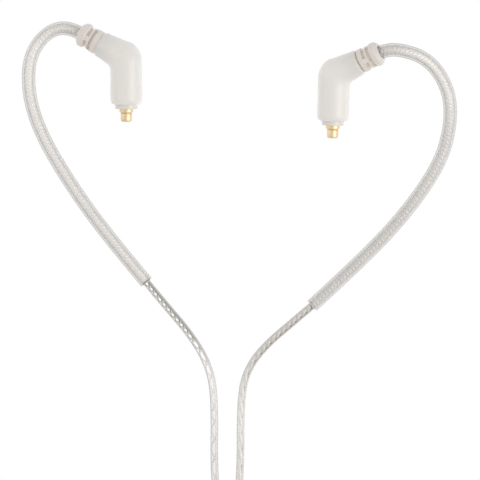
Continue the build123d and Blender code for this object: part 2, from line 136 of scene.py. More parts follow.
# Each elbow's bend, in metres, with its pitch, roll and turn in degrees. side is -1 where the arm points
# left, and relief_turn is where the bridges across the relief's first slot are, in degrees.
ELBOWS = {
    "left": {
        "bend": (-0.0249, 0.0236, 0.00485), "pitch": 6.2, "roll": -15.0, "turn": 0.0,
        "side": -1, "relief_turn": 0,
    },
    "right": {
        "bend": (0.02075, 0.0200, 0.0046), "pitch": 6.0, "roll": 17.0, "turn": -1.2,
        "side": 1, "relief_turn": 102,
    },
}

# How far along the arm's line a sleeve stays straight, in millimetres, and every route's points, in metres.
HOOK_LEAD_IN = {"left": 13.5, "right": 13.3}
HOOK_ROUTES = {
    "left": [
        (-0.0399, 0.0304, 0.0019),
        (-0.04305, 0.02868, 0.00165),
        (-0.04565, 0.0252, 0.0015),
        (-0.0467, 0.0204, 0.0015),
        (-0.046, 0.01305, 0.0015),
        (-0.0426, 0.0046, 0.0015),
        (-0.0353, -0.0071, 0.0015),
        (-0.027, -0.018, 0.0015),
        (-0.0205, -0.0257, 0.0015),
    ],
    "right": [
        (0.0366, 0.02493, 0.0090),
        (0.0409, 0.02325, 0.0080),
        (0.0443, 0.0196, 0.0063),
        (0.0464, 0.0144, 0.0044),
        (0.04625, 0.0076, 0.0027),
        (0.04395, 0.0001, 0.0017),
        (0.03745, -0.0095, 0.0015),
        (0.02835, -0.01955, 0.0015),
        (0.01595, -0.0309, 0.0015),
    ],
}
LEAD_ROUTES = {
    "left": [
        (-0.0205, -0.0257, 0.0015),
        (-0.0164, -0.0307, 0.0011),
        (-0.0111, -0.03682, 0.00085),
        (-0.007, -0.04345, 0.00085),
        (-0.00542, -0.0506, 0.00085),
        (-0.0057, -0.0700, 0.00085),
        (-0.0036, -0.0820, 0.00135),
        (-0.0036, -0.0850, 0.00135),
        (-0.0036, -0.0880, 0.00135),
        (-0.0036, -0.1170, 0.00135),
    ],
    "right": [
        (0.01595, -0.0309, 0.0015),
        (0.01128, -0.03488, 0.0010),
        (0.00608, -0.03928, 0.00085),
        (0.00215, -0.04405, 0.00085),
        (0.00017, -0.0503, 0.00085),
        (0.00026, -0.0700, 0.00085),
        (-0.0018, -0.0820, 0.00135),
        (-0.0018, -0.0850, 0.00135),
        (-0.0018, -0.0880, 0.00135),
        (-0.0018, -0.1170, 0.00135),
    ],
}
LEAD_TAILS = {
    "left": [
        (-0.0036, -0.1310, 0.0031),
        (-0.0035, -0.1372, 0.0014),
        (-0.0011, -0.1428, 0.0012),
        (0.0038, -0.1449, 0.0020),
        (0.0080, -0.1449, 0.0020),
    ],
    "right": [
        (-0.0018, -0.1310, 0.0031),
        (-0.0017, -0.1365, 0.0014),
        (0.0002, -0.1412, 0.0012),
        (0.0040, -0.1431, 0.0020),
        (0.0080, -0.1431, 0.0020),
    ],
}
MAIN_ROUTE = [(0.0170, -0.1440, 0.0020), (0.0214, -0.1440, 0.0020), (0.0254, -0.1440, 0.0015)]
MAIN_TAIL = [
    (0.0447, -0.1180, 0.0074),
    (0.0447, -0.1105, 0.0052),
    (0.0447, -0.1040, 0.0042),
    (0.0447, -0.0970, 0.0042),
]

# Each coil's place and steps, in metres. sense is 1 where it winds anticlockwise, seen from above.
LEAD_COIL = {
    "centre": (-0.0138, -0.1210), "inner": 0.0066, "pitch": 0.0018, "layer": 0.0018, "floor": 0.00135,
    "slots": 2, "layers": 2, "turns": 3.0, "start": 0.0, "sense": -1,
}
CORD_COIL = {
    "centre": (0.0295, -0.1288), "inner": 0.0068, "pitch": 0.0021, "layer": 0.00206, "floor": 0.0015,
    "slots": 5, "layers": 4, "turns": 18.25, "start": -math.pi / 2, "sense": 1,
}
COIL_STEPS = 24  # points in each turn
# When in a turn the strand may climb a layer or step to the next slot, as shares of the turn.
COIL_WINDOWS = (
    ("climb_outside", 0.00, 0.23),
    ("step_out", 0.27, 0.48),
    ("climb_inside", 0.50, 0.72),
    ("step_in", 0.74, 0.98),
)


# ---------------------------------------------------------------- camera
def add_camera():
    """Straight down on the upper part of the set, through a long lens."""
    distance, width_seen, cord_height = 1.0, 0.1056, 0.003
    middle_x, middle_y = 0.0001, -0.0164
    cam = bpy.data.cameras.new("camera")
    cam.sensor_width = 36
    cam.clip_end = 5
    cam.lens = cam.sensor_width * (distance - cord_height) / width_seen
    obj = bpy.data.objects.new("camera", cam)
    obj.location = (middle_x, middle_y, distance)
    bpy.context.scene.collection.objects.link(obj)
    bpy.context.scene.camera = obj


# ---------------------------------------------------------------- mesh helpers
def signed_volume(mesh):
    """Six times the enclosed volume, below 0 where the faces look inwards."""
    total = 0.0
    for p in mesh.polygons:
        a = mesh.vertices[p.vertices[0]].co
        for i in range(1, len(p.vertices) - 1):
            b, c = mesh.vertices[p.vertices[i]].co, mesh.vertices[p.vertices[i + 1]].co
            total += a.dot(b.cross(c))
    return total


def new_mesh(name, verts, faces, uvs=None):
    """A closed mesh object from points in metres, facing outwards. uvs holds one pair for each point."""
    mesh = bpy.data.meshes.new(name)
    mesh.from_pydata([tuple(v) for v in verts], [], faces)
    if uvs:
        layer = mesh.uv_layers.new(name="UVMap")
        for loop in mesh.loops:
            layer.data[loop.index].uv = uvs[loop.vertex_index]
    mesh.polygons.foreach_set("use_smooth", [True] * len(mesh.polygons))
    mesh.update()
    mesh.set_sharp_from_angle(angle=math.radians(40))
    if signed_volume(mesh) < 0:
        mesh.flip_normals()
    obj = bpy.data.objects.new(name, mesh)
    bpy.context.scene.collection.objects.link(obj)
    return obj


def finish_piece(obj, material, replaced=()):
    """Gives a piece its material and its body, and hides the CAD nodes that it stands for."""
    obj.data.materials.append(material)
    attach(obj, BODY)
    if replaced:
        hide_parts(*replaced)
    return obj


def grid_faces(rows, columns, closed):
    """Quads between rings that have columns points each.
    closed joins the last ring to the first. Without it, both ends are capped."""
    faces = []
    for i in range(rows if closed else rows - 1):
        here, following = i * columns, (i + 1) % rows * columns
        for j in range(columns):
            k = (j + 1) % columns
            faces.append((here + j, here + k, following + k, following + j))
    if not closed:
        faces.append(tuple(range(columns)))
        faces.append(tuple(rows * columns - 1 - j for j in range(columns)))
    return faces


def rounded(points, radii):
    """Rounds each corner of a closed flat outline by its own radius. Neighbouring bends mustn't overlap."""
    steps, most = 5, 0.9  # points in a bend, and the share of a side that it may use
    out = []
    for i, (here, radius) in enumerate(zip(points, radii)):
        p = Vector(here)
        if radius <= 0:
            out.append(p)
            continue
        to_before = Vector(points[i - 1]) - p
        to_after = Vector(points[(i + 1) % len(points)]) - p
        reach = radius / math.tan(to_before.angle(to_after) / 2)
        start = p + to_before.normalized() * min(reach, most * to_before.length)
        end = p + to_after.normalized() * min(reach, most * to_after.length)
        for k in range(steps + 1):
            t = k / steps
            out.append(start * (1 - t) ** 2 + p * 2 * t * (1 - t) + end * t * t)
    return out


def lathe(name, outline, where, segments=96, radius_at=None):
    """Turns a closed outline of (place along the axis, radius) about where's z axis.
    radius_at, where it is given, changes the radius by the angle."""
    verts = []
    for along, r in outline:
        for j in range(segments):
            turn = 2 * math.pi * j / segments
            radius = radius_at(along, r, turn) if radius_at else r
            verts.append(where @ (Vector((math.cos(turn) * radius, math.sin(turn) * radius, along)) * MM))
    return new_mesh(name, verts, grid_faces(len(outline), segments, True))


def smooth_step(a, b, x):
    """Rises from 0 at a to 1 at b, level at both."""
    t = min(1.0, max(0.0, (x - a) / (b - a)))
    return t * t * (3 - 2 * t)


# ---------------------------------------------------------------- routes
def nurbs(name, points):
    """An open order-3 NURBS curve with the route's points as its control points."""
    curve = bpy.data.curves.new(name, "CURVE")
    curve.dimensions = "3D"
    spline = curve.splines.new("NURBS")
    spline.points.add(len(points) - 1)
    for target, point in zip(spline.points, points):
        target.co = (*point, 1)
    spline.order_u = 3
    spline.use_endpoint_u = True
    spline.resolution_u = 12
    obj = bpy.data.objects.new(name, curve)
    bpy.context.scene.collection.objects.link(obj)
    return obj


def points_of(route):
    """Points along a route's NURBS line."""
    obj = nurbs("route", route)
    mesh = bpy.data.meshes.new_from_object(obj)
    points = [v.co.copy() for v in mesh.vertices]
    bpy.data.objects.remove(obj)
    bpy.data.meshes.remove(mesh)
    return points


def spaced(points, step):
    """The same line with its points about step apart, and its length."""
    lengths = [0.0]
    for a, b in zip(points, points[1:]):
        lengths.append(lengths[-1] + (b - a).length)
    count = max(2, round(lengths[-1] / step))
    out, k = [], 0
    for i in range(count + 1):
        want = lengths[-1] * i / count
        while k < len(lengths) - 2 and lengths[k + 1] < want:
            k += 1
        span = lengths[k + 1] - lengths[k]
        t = (want - lengths[k]) / span if span > 0 else 0
        out.append(points[k].lerp(points[k + 1], t))
    return out, lengths[-1]


def frames(line):
    """(tangent, side, up) at each point, with side level."""
    out = []
    for i in range(len(line)):
        tangent = (line[min(i + 1, len(line) - 1)] - line[max(i - 1, 0)]).normalized()
        side = tangent.cross(UP).normalized()
        out.append((tangent, side, side.cross(tangent)))
    return out


def rings_along(line, rows, segments):
    """Points and (distance, turn) pairs of rings about a line. rows are (index into the line, radius)."""
    axes, travelled = frames(line), [0.0]
    for a, b in zip(line, line[1:]):
        travelled.append(travelled[-1] + (b - a).length)
    verts, uvs = [], []
    for i, radius in rows:
        _, side, up = axes[i]
        for j in range(segments):
            turn = 2 * math.pi * j / segments
            verts.append(line[i] + (side * math.cos(turn) + up * math.sin(turn)) * radius * MM)
            uvs.append((travelled[i] / MM, j / segments))
    return verts, uvs


def sweep(name, line, outer, bore, segments):
    """Round tube along a line, closed by its own wall, or a rod with flat ends where bore is 0."""
    last = len(line) - 1
    rim = outer - CUT_EDGE
    rows = [(0, rim), *((i, outer) for i in range(last + 1)), (last, rim)]
    if bore:
        rows += [(i, bore) for i in range(last, -1, -1)]
    verts, uvs = rings_along(line, rows, segments)
    return new_mesh(name, verts, grid_faces(len(rows), segments, bool(bore)), uvs)


def helix(line, radius_at, turn_at, offset, shift_at):
    """Points that wind about a line. At a distance along it, turn_at gives the turn in radians, and radius_at
    and shift_at how far out and how far sideways the points lie, in millimetres."""
    out, distance = [], 0.0
    for i, (_, side, up) in enumerate(frames(line)):
        if i:
            distance += (line[i] - line[i - 1]).length
        turn = turn_at(distance) + offset
        wound = (side * math.cos(turn) + up * math.sin(turn)) * radius_at(distance)
        out.append(line[i] + (wound + side * shift_at(distance)) * MM)
    return out


# ---------------------------------------------------------------- coils
def coil_move(coil, action, slot, layer, inwards):
    """How many slots out and layers up an action takes the strand from here."""
    at_rim, at_top = slot == coil["slots"] - 1, layer == coil["layers"] - 1
    if action == "climb_outside" and not inwards and at_rim and not at_top:
        return 0, 1
    if action == "step_out" and not inwards and not at_rim:
        return 1, 0
    if action == "climb_inside" and inwards and slot == 0 and not at_top:
        return 0, 1
    if action == "step_in" and inwards and slot > 0:
        return -1, 0
    return 0, 0


def wind(coil, strand=0, strands=1):
    """Points of one of the strands wound side by side, layer by layer, from the outside inwards and back.
    It climbs and steps sideways in its own part of each turn, so that no turns cross in one layer."""
    cx, cy = coil["centre"]
    slot, layer, inwards, out = coil["slots"] - 1, 0, True, []
    for k in range(1, round(coil["turns"] * COIL_STEPS)):
        phase = (k % COIL_STEPS) / COIL_STEPS
        radial, height = slot, layer
        for action, begin, end in COIL_WINDOWS:
            if not begin <= phase < end:
                continue
            outwards, upwards = coil_move(coil, action, slot, layer, inwards)
            done = smooth_step(begin, end, phase)
            radial, height = slot + outwards * done, layer + upwards * done
            if phase + 1 / COIL_STEPS >= end:
                slot, layer = slot + outwards, layer + upwards
                inwards = inwards != bool(upwards)
        radius = coil["inner"] + coil["pitch"] * (radial * strands + strand)
        radius /= math.cos(math.pi / COIL_STEPS)  # the curve runs inside its control points
        angle = coil["start"] + coil["sense"] * 2 * math.pi * k / COIL_STEPS
        z = coil["floor"] + coil["layer"] * height
        out.append((cx + radius * math.cos(angle), cy + radius * math.sin(angle), z))
    return out


# ---------------------------------------------------------------- elbow frame
ARM_RISE = math.radians(BEND_ANGLE - 90)
ARM = Vector((math.cos(ARM_RISE), math.sin(ARM_RISE), 0))
PLUG = Vector((0, -1, 0))


def turn_about(axis, degrees):
    return Matrix.Rotation(math.radians(degrees), 4, axis)


def elbow_place(name):
    """Where an elbow's own frame is: its origin at the bend, the plug down -y and the arm up towards +x."""
    e = ELBOWS[name]
    place = Matrix.Translation(e["bend"]) @ turn_about("Z", e["turn"]) @ turn_about("X", e["pitch"])
    place = place @ turn_about("Y", -e["roll"] * e["side"])
    return place @ turn_about("Y", 180) if e["side"] < 0 else place


def along_axis(name, direction):
    """The frame whose z axis is a direction in the elbow's own frame, with x as near to up as it can be."""
    z = direction.normalized()
    x = (UP - z * UP.dot(z)).normalized()
    basis = Matrix((x, z.cross(x), z)).transposed().to_4x4()
    return elbow_place(name) @ basis


def on_arm(name, along):
    """The point on the arm's line that is along millimetres past the bend."""
    return elbow_place(name) @ (ARM * along * MM)


# ---------------------------------------------------------------- materials
def node_material(name, settings):
    """A Principled material with its sockets set, and its nodes, links and shader."""
    mat = bpy.data.materials.new(name)
    mat.use_nodes = True
    nodes, links = mat.node_tree.nodes, mat.node_tree.links
    shader = nodes["Principled BSDF"]
    for socket, value in settings.items():
        shader.inputs[socket].default_value = (*value, 1) if socket == "Base Color" else value
    return mat, nodes, links, shader


def fine_grain(nodes, links, shader, scale, depth):
    """A faint uneven surface. depth is in metres."""
    coords = nodes.new("ShaderNodeTexCoord")
    noise = nodes.new("ShaderNodeTexNoise")
    noise.inputs["Scale"].default_value = scale
    noise.inputs["Detail"].default_value = 3.0
    bump = nodes.new("ShaderNodeBump")
    bump.inputs["Strength"].default_value = 1.0
    bump.inputs["Distance"].default_value = depth
    links.new(coords.outputs["Object"], noise.inputs["Vector"])
    links.new(noise.outputs["Fac"], bump.inputs["Height"])
    links.new(bump.outputs["Normal"], shader.inputs["Normal"])


def coordinate(nodes, links, space, axis):
    """One axis of a texture coordinate."""
    coords = nodes.new("ShaderNodeTexCoord")
    parts = nodes.new("ShaderNodeSeparateXYZ")
    links.new(coords.outputs[space], parts.inputs["Vector"])
    return parts.outputs[axis]


def smooth_rise(nodes, links, value, start, end, top):
    """0 where the value is at start, and top where it is at end."""
    rise = nodes.new("ShaderNodeMapRange")
    rise.interpolation_type = "SMOOTHSTEP"
    rise.inputs["From Min"].default_value = start
    rise.inputs["From Max"].default_value = end
    rise.inputs["To Max"].default_value = top
    links.new(value, rise.inputs["Value"])
    return rise.outputs["Result"]


def colour_ramp(nodes, links, value, stops, interpolation="EASE"):
    """A colour that follows a value. stops are (value, colour), from the lowest value up."""
    ramp = nodes.new("ShaderNodeValToRGB")
    ramp.color_ramp.interpolation = interpolation
    elements = ramp.color_ramp.elements
    for i, (place, colour) in enumerate(stops):
        element = elements[i] if i < 2 else elements.new(1.0)
        element.position = place
        element.color = (*colour, 1)
    links.new(value, ramp.inputs["Fac"])
    return ramp.outputs["Color"]


SCATTER = (1.0, 0.85, 0.7)  # how far red, green and blue light spread, as shares of the subsurface scale
MILKY = (0.84, 0.81, 0.775)
GREYED = (0.745, 0.72, 0.695)


def housing_plastic():
    """Milky plastic, greyer where the strain relief shows through the arm.
    UV x is how many millimetres past the bend a point is."""
    mat, nodes, links, shader = node_material("housing_plastic", {
        "Base Color": MILKY, "Roughness": 0.4, "IOR": 1.5,
        "Subsurface Weight": 0.5, "Subsurface Radius": SCATTER, "Subsurface Scale": 0.0008,
        "Coat Weight": 0.3, "Coat Roughness": 0.38,
    })
    fine_grain(nodes, links, shader, 2600.0, 0.000008)
    past_bend = coordinate(nodes, links, "UV", "X")
    shown = smooth_rise(nodes, links, past_bend, SHOWS_THROUGH_FROM, ARM_END, 1.0)
    tint = nodes.new("ShaderNodeMix")
    tint.data_type = "RGBA"
    tint_a, tint_b, tint_out = tint.inputs[6], tint.inputs[7], tint.outputs[2]
    tint_a.default_value = (*MILKY, 1)
    tint_b.default_value = (*GREYED, 1)
    links.new(shown, tint.inputs["Factor"])
    links.new(tint_out, shader.inputs["Base Color"])
    return mat


def collar_plastic():
    mat, nodes, links, shader = node_material("collar_plastic", {
        "Base Color": (0.79, 0.745, 0.70), "Roughness": 0.3, "Subsurface Weight": 0.2,
        "Subsurface Radius": SCATTER, "Subsurface Scale": 0.0004,
    })
    fine_grain(nodes, links, shader, 3000.0, 0.000004)
    return mat


def gold_plate():
    mat, nodes, links, shader = node_material("gold_plate", {
        "Base Color": (0.905, 0.73, 0.465), "Metallic": 0.8, "Roughness": 0.5,
    })
    fine_grain(nodes, links, shader, 4000.0, 0.000003)
    return mat


def relief_rubber():
    mat, nodes, links, shader = node_material("relief_rubber", {
        "Base Color": (0.765, 0.715, 0.665), "Roughness": 0.42, "Subsurface Weight": 0.15,
        "Subsurface Radius": SCATTER, "Subsurface Scale": 0.0004,
    })
    fine_grain(nodes, links, shader, 3500.0, 0.000010)
    return mat


def plain(name, colour, roughness, metallic=0.0, grain=0.000004):
    """One even colour with a faint grain, whose depth is in metres."""
    mat, nodes, links, shader = node_material(
        name, {"Base Color": colour, "Roughness": roughness, "Metallic": metallic})
    fine_grain(nodes, links, shader, 3000.0, grain)
    return mat


def opacity_by_angle(nodes, links, stops):
    """Opacity that follows how far the surface turns away from the eye. stops are (turned away, opacity)."""
    facing = nodes.new("ShaderNodeLayerWeight")
    facing.inputs["Blend"].default_value = 0.5
    greys = [(place, (opacity,) * 3) for place, opacity in stops]
    return colour_ramp(nodes, links, facing.outputs["Facing"], greys)


def let_light_in(nodes, links, shader):
    """Lamps and soft light reach what is behind this surface, as they do through clear plastic."""
    path, clear = nodes.new("ShaderNodeLightPath"), nodes.new("ShaderNodeBsdfTransparent")
    surface = shader.outputs["BSDF"]
    for ray in ("Is Shadow Ray", "Is Diffuse Ray"):
        mix = nodes.new("ShaderNodeMixShader")
        links.new(path.outputs[ray], mix.inputs[0])
        links.new(surface, mix.inputs[1])
        links.new(clear.outputs["BSDF"], mix.inputs[2])
        surface = mix.outputs[0]
    links.new(surface, nodes["Material Output"].inputs["Surface"])


def clear_plastic(name, colour, stops):
    """Clear plastic, whose walls look solid where they are seen edge on."""
    mat, nodes, links, shader = node_material(name, {"Base Color": colour, "Roughness": 0.2, "IOR": 1.45})
    links.new(opacity_by_angle(nodes, links, stops), shader.inputs["Alpha"])
    let_light_in(nodes, links, shader)
    return mat


def clouding_plastic(name, colour, stops, cloudy):
    """Clear plastic that clouds over down the table. cloudy is (from y, to y, opacity there)."""
    mat, nodes, links, shader = node_material(name, {"Base Color": colour, "Roughness": 0.2, "IOR": 1.45})
    larger = nodes.new("ShaderNodeMath")
    larger.operation = "MAXIMUM"
    links.new(opacity_by_angle(nodes, links, stops), larger.inputs[0])
    links.new(smooth_rise(nodes, links, coordinate(nodes, links, "Object", "Y"), *cloudy), larger.inputs[1])
    links.new(larger.outputs["Value"], shader.inputs["Alpha"])
    let_light_in(nodes, links, shader)
    return mat


def conductor(name, tints):
    """Bundle of fine wires. tints are (millimetres along it, colour)."""
    mat, nodes, links, shader = node_material(name, {"Metallic": 0.1, "Roughness": 0.4})
    last = tints[-1][0]
    share = nodes.new("ShaderNodeMath")
    share.operation = "DIVIDE"
    share.inputs[1].default_value = last
    links.new(coordinate(nodes, links, "UV", "X"), share.inputs[0])
    stops = [(place / last, colour) for place, colour in tints]
    links.new(colour_ramp(nodes, links, share.outputs["Value"], stops), shader.inputs["Base Color"])
    return mat


MATERIALS = {
    "housing_plastic": housing_plastic(),
    "collar_plastic": collar_plastic(),
    "gold_plate": gold_plate(),
    "relief_rubber": relief_rubber(),
    "insulator_white": plain("insulator_white", (0.85, 0.84, 0.8), 0.4),
    "insulator_black": plain("insulator_black", (0.02, 0.02, 0.02), 0.4),
    "inner_mould_plastic": plain("inner_mould_plastic", (0.78, 0.75, 0.71), 0.5),
    "bare_wire": plain("bare_wire", (0.86, 0.84, 0.8), 0.3, metallic=1.0),
    # dark rings that paint the shade in the gap at each sleeve's lower end, darker on the left
    "left_bead": plain("left_bead", (0.30, 0.285, 0.27), 0.3),
    "right_bead": plain("right_bead", (0.56, 0.54, 0.52), 0.3),
    "strap": plain("strap", (0.74, 0.72, 0.69), 0.85, grain=0.00006),
    "clear_tube": clear_plastic(
        "clear_tube", (0.58, 0.565, 0.55),
        [(0.0, 0.03), (0.25, 0.16), (0.5, 0.4), (0.6, 0.52), (0.7, 0.97), (1.0, 1.0)]),
    "hook_cable": clear_plastic(
        "hook_cable", (0.66, 0.64, 0.615), [(0.0, 0.0), (0.2, 0.22), (0.45, 0.75), (0.65, 1.0)]),
    "lead_cable": clouding_plastic(
        "lead_cable", (0.62, 0.605, 0.58),
        [(0.0, 0.0), (0.15, 0.08), (0.33, 0.45), (0.5, 0.9), (0.62, 1.0)], (-0.042, -0.053, 0.18)),
    "main_cable": clear_plastic(
        "main_cable", (0.74, 0.72, 0.70), [(0.0, 0.55), (0.3, 0.6), (0.5, 0.9), (0.7, 1.0)]),
}
BRIGHTEST = (0.95, 0.92, 0.88)
SILVER = (0.93, 0.905, 0.87)
BRIGHT = (0.92, 0.89, 0.85)
SHADED = (0.83, 0.79, 0.745)
PINKISH = (0.83, 0.79, 0.77)
CONDUCTORS = {
    "left_hook": conductor("left_hook_silver", [
        (18, SHADED), (29, BRIGHTEST), (44, BRIGHT), (80, (0.86, 0.83, 0.79))]),
    "right_hook": conductor("right_hook_silver", [
        (12, (0.74, 0.70, 0.66)), (25, BRIGHTEST), (37, (0.93, 0.90, 0.865)),
        (54, (0.75, 0.725, 0.695)), (86, (0.67, 0.65, 0.62))]),
    "left": conductor("left_silver", [(15, (0.60, 0.58, 0.55)), (32, SILVER), (48, PINKISH)]),
    "right": conductor("right_silver", [(16, (0.68, 0.65, 0.62)), (34, SILVER), (48, PINKISH)]),
    # a dark strand whose colour paints the shade along each lead's edge, darkest by the sleeve
    "shade_strand": conductor("shade_strand_wire", [(12, (0.44, 0.42, 0.39)), (28, SILVER), (46, PINKISH)]),
    "main": node_material("main_silver", {"Base Color": SILVER, "Metallic": 0.1, "Roughness": 0.4})[0],
}


# ---------------------------------------------------------------- elbow pieces
def housing_distance(p, plug_r, arm_r, arm_taper, blend):
    """Signed distance, in millimetres, from a plug cylinder joined to an arm cone by a small bend.
    The two blend into each other on the inner side of the bend."""
    deflection = math.radians(180 - BEND_ANGLE)
    reach = BEND_LINE_R * math.tan(deflection / 2)
    t = max(reach, p.dot(PLUG))
    to_plug = (p - PLUG * t).length - plug_r
    t = max(reach, p.dot(ARM))
    to_arm = (p - ARM * t).length - (arm_r - arm_taper * t)
    away = p - (PLUG * reach + Vector((1, 0, 0)) * BEND_LINE_R)
    swept = math.atan2(away.y, -away.x)
    to_bend = math.inf
    if 0 < swept < deflection:
        middle_r = arm_r + (plug_r - arm_r) * (1 - swept / deflection)
        to_bend = math.hypot(math.hypot(away.x, away.y) - BEND_LINE_R, away.z) - middle_r
    blend_starts, blend_full = 0.5, 3.0
    k = blend * smooth_step(blend_starts, blend_full, p.dot((ARM + PLUG).normalized()))
    nearest = min(to_plug, to_arm, to_bend)
    if k <= 1e-6:
        return nearest
    h = max(k - abs(to_plug - to_arm), 0.0) / k
    return min(nearest, min(to_plug, to_arm) - h * h * k / 4)


def bent_stations(step):
    """Points and directions down a line that follows the plug and the arm, with a wide bend between them."""
    deflection = math.radians(180 - BEND_ANGLE)
    reach = RING_LINE_R * math.tan(deflection / 2)
    out = []
    straight = HOUSING_LENGTH - reach
    count = math.ceil(straight / step)
    for i in range(count):
        out.append((PLUG * (HOUSING_LENGTH - straight * i / count), -PLUG))
    centre = PLUG * reach + Vector((1, 0, 0)) * RING_LINE_R
    count = math.ceil(RING_LINE_R * deflection / step)
    for i in range(count):
        a = deflection * i / count
        outwards = Vector((-math.cos(a), math.sin(a), 0))
        out.append((centre + outwards * RING_LINE_R, Vector((math.sin(a), math.cos(a), 0))))
    straight = ARM_END - reach
    count = math.ceil(straight / step)
    for i in range(count + 1):
        out.append((ARM * (reach + straight * i / count), ARM))
    return out


def ring_on_surface(centre, direction, sizes):
    """Points where rays across the line meet the joined shape."""
    first_step, careful, close, tries = 0.5, 0.9, 0.0005, 40
    across = UP.cross(direction).normalized()
    ring = []
    for j in range(HOUSING_SEGMENTS):
        turn = 2 * math.pi * j / HOUSING_SEGMENTS
        ray = across * math.cos(turn) + UP * math.sin(turn)
        travelled = first_step
        for _ in range(tries):
            gap = -housing_distance(centre + ray * travelled, *sizes)
            if gap < close:
                break
            travelled += gap * careful
        ring.append(centre + ray * travelled)
    return ring


def shrink(ring, centre, amount, shift):
    """The same ring pulled in towards its centre and shifted."""
    return [p + (centre - p).normalized() * amount + shift for p in ring]


HOUSING_SEGMENTS = 80
# The rings of the rounded lower edge, as (share of the chamfer inwards, millimetres up), and of the arm's
# rim, as (millimetres inwards, millimetres down).
CHAMFER_ROWS = ((1.0, 0.0), (0.72, 0.08), (0.42, 0.26), (0.16, 0.5))
CHAMFER_HEIGHT = 0.85
RIM_ROWS = ((0.0, 0.3), (0.04, 0.14), (0.12, 0.04), (0.24, 0.0))
RIM_HEIGHT = 0.35


def add_housing(name):
    """The elbow's hollow shell, as one closed grid of rings: up its outside and back down its bore."""
    taper = (HOUSING_R - ARM_END_R) / ARM_END
    outer_sizes = (HOUSING_R, HOUSING_R, taper, INNER_BLEND)
    inner_sizes = (HOUSING_R - WALL, ARM_BORE_R, 0.0, BORE_BLEND)
    outer_step, inner_step = 0.28, 0.7
    stations = bent_stations(outer_step)
    bottom, top = stations[0][0], stations[-1][0]
    full = ring_on_surface(*stations[0], outer_sizes)
    rings = [shrink(full, bottom, HOUSING_CHAMFER * share, -PLUG * up) for share, up in CHAMFER_ROWS]
    for centre, direction in stations:
        in_chamfer = direction == -PLUG and (centre - bottom).length < CHAMFER_HEIGHT
        in_rim = direction == ARM and (centre - top).length < RIM_HEIGHT
        if not in_chamfer and not in_rim:
            rings.append(ring_on_surface(centre, direction, outer_sizes))
    full = ring_on_surface(*stations[-1], outer_sizes)
    rings += [shrink(full, top, amount, -ARM * down) for amount, down in RIM_ROWS]
    rings += [ring_on_surface(*station, inner_sizes) for station in reversed(bent_stations(inner_step))]
    place = elbow_place(name)
    points = [p for ring in rings for p in ring]
    obj = new_mesh(
        f"{name}_housing_shell", [place @ (p * MM) for p in points],
        grid_faces(len(rings), HOUSING_SEGMENTS, True), [(p.dot(ARM), p.dot(PLUG)) for p in points])
    finish_piece(obj, MATERIALS["housing_plastic"], [f"{name}_elbow_housing"])


def add_plug(name):
    """The collar with its spigot, the gold shell, and the snap ring in the shell's groove."""
    where = along_axis(name, PLUG)
    inner = SHELL_R + FIT
    spigot = [(SPIGOT_START, inner), (SPIGOT_START, SPIGOT_R), (HOUSING_LENGTH, SPIGOT_R)]
    collar = rounded(
        [(HOUSING_LENGTH, inner), (HOUSING_LENGTH, COLLAR_R), (COLLAR_END, COLLAR_R), (COLLAR_END, inner)],
        [0, 0, 0.22, 0.05])
    obj = lathe(f"{name}_collar", spigot + collar[1:], where)
    finish_piece(obj, MATERIALS["collar_plastic"], [f"{name}_collar_ring"])

    shell = rounded(
        [(SHELL_START, SHELL_BORE_R), (SHELL_START, SHELL_R), (COLLAR_END, SHELL_R), (COLLAR_END, SHOULDER_R),
         (SHOULDER_END, SHOULDER_R), (SHOULDER_END, GROOVE_R), (GROOVE_END, GROOVE_R), (GROOVE_END, BARREL_R),
         (BARREL_END, BARREL_R), (BARREL_END, SHELL_BORE_R)],
        [0, 0, 0, 0.02, 0.14, 0, 0, 0.06, 0.6, 0])
    obj = lathe(f"{name}_gold_shell", shell, where)
    finish_piece(obj, MATERIALS["gold_plate"], [f"{name}_plug_shell"])

    middle = (SHOULDER_END + GROOVE_END) / 2
    rings, segments = 91, 12
    verts = []
    for i in range(rings):
        a = math.pi + 2 * math.pi * (SNAP_GAP / 2 + (1 - SNAP_GAP) * i / (rings - 1))
        for j in range(segments):
            b = 2 * math.pi * j / segments
            out = SNAP_RING_R + SNAP_WIRE_R * math.cos(b)
            along = middle + SNAP_WIRE_R * math.sin(b)
            verts.append(where @ (Vector((math.cos(a) * out, math.sin(a) * out, along)) * MM))
    obj = new_mesh(f"{name}_split_ring", verts, grid_faces(rings, segments, False))
    finish_piece(obj, MATERIALS["gold_plate"], [f"{name}_snap_ring"])


def slotted(relief_turn):
    """The relief's radius at a place and an angle: each ring-shaped slot is interrupted by two bridges."""
    slot_side = [SLOT_WIDTH / 2 + slope for slope in SLOT_SLOPE]
    bridge_side = [SLOT_BRIDGE / 2 + slope for slope in BRIDGE_SLOPE]
    shallowest = 0.05  # what is nearer than this to a slot's floor isn't cut

    def radius_at(along, r, angle):
        for place, across in zip(SLOT_PLACES, (0, 90)):
            depth = 1 - smooth_step(*slot_side, abs(along - place))
            if depth <= 0 or r < SLOT_FLOOR_R + shallowest:
                continue
            from_bridge = abs(r * math.cos(angle - math.radians(relief_turn + across)))
            depth *= smooth_step(*bridge_side, from_bridge)
            return r - depth * (r - SLOT_FLOOR_R)
        return r

    return radius_at


